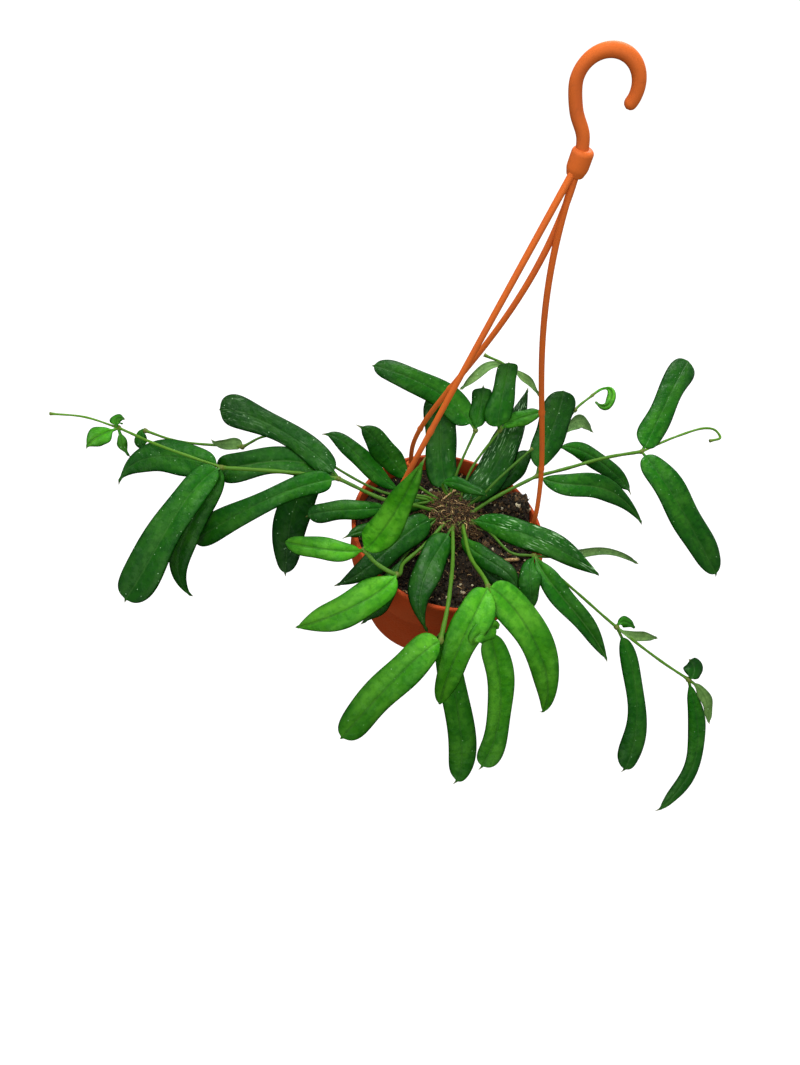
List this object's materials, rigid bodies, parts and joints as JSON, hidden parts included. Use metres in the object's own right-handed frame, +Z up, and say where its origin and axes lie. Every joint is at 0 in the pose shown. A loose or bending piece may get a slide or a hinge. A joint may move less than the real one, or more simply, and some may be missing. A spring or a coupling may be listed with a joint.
{
  "type": "potted house plant",
  "caption": "Trailing hoya with long waxy green leaves, rooted in potting mix, in a terracotta-coloured plastic hanging pot with a moulded three-arm hanger and hook.",
  "frame": {"origin": "seat of the hanger's hook, where it rests on a rod or nail, straight above the centre of the pot's rim", "axes": "+Z up, +Y to the back of the plant as it is pictured, +X to its right"},
  "size_m": [0.4567, 0.3086, 0.3576],
  "materials": {
    "pot_plastic": "matt terracotta-coloured plastic",
    "hanger_plastic": "satin orange-brown plastic",
    "potting_mix": "damp dark peat with perlite and straw",
    "moss_plug": "fibrous brown moss",
    "leaf": "waxy dark green leaf",
    "young_leaf": "waxy bright green leaf",
    "stem": "smooth green stem"
  },
  "bodies": {
    "root": {"pot": "pot_plastic", "hanger": "hanger_plastic", "potting_mix": "potting_mix", "moss_plug": "moss_plug", "vine_left_long": "leaf", "vine_left_back": "leaf", "vine_right_long": "leaf", "vine_right_front": "leaf", "stem_front_left": "young_leaf", "stem_front": "leaf", "stem_front_right": "young_leaf", "stem_back_left": "leaf", "stem_back": "leaf", "stem_cut_back": "stem", "crown_leaves_left": "leaf", "crown_leaves_front": "leaf"}
  },
  "joints": []
}
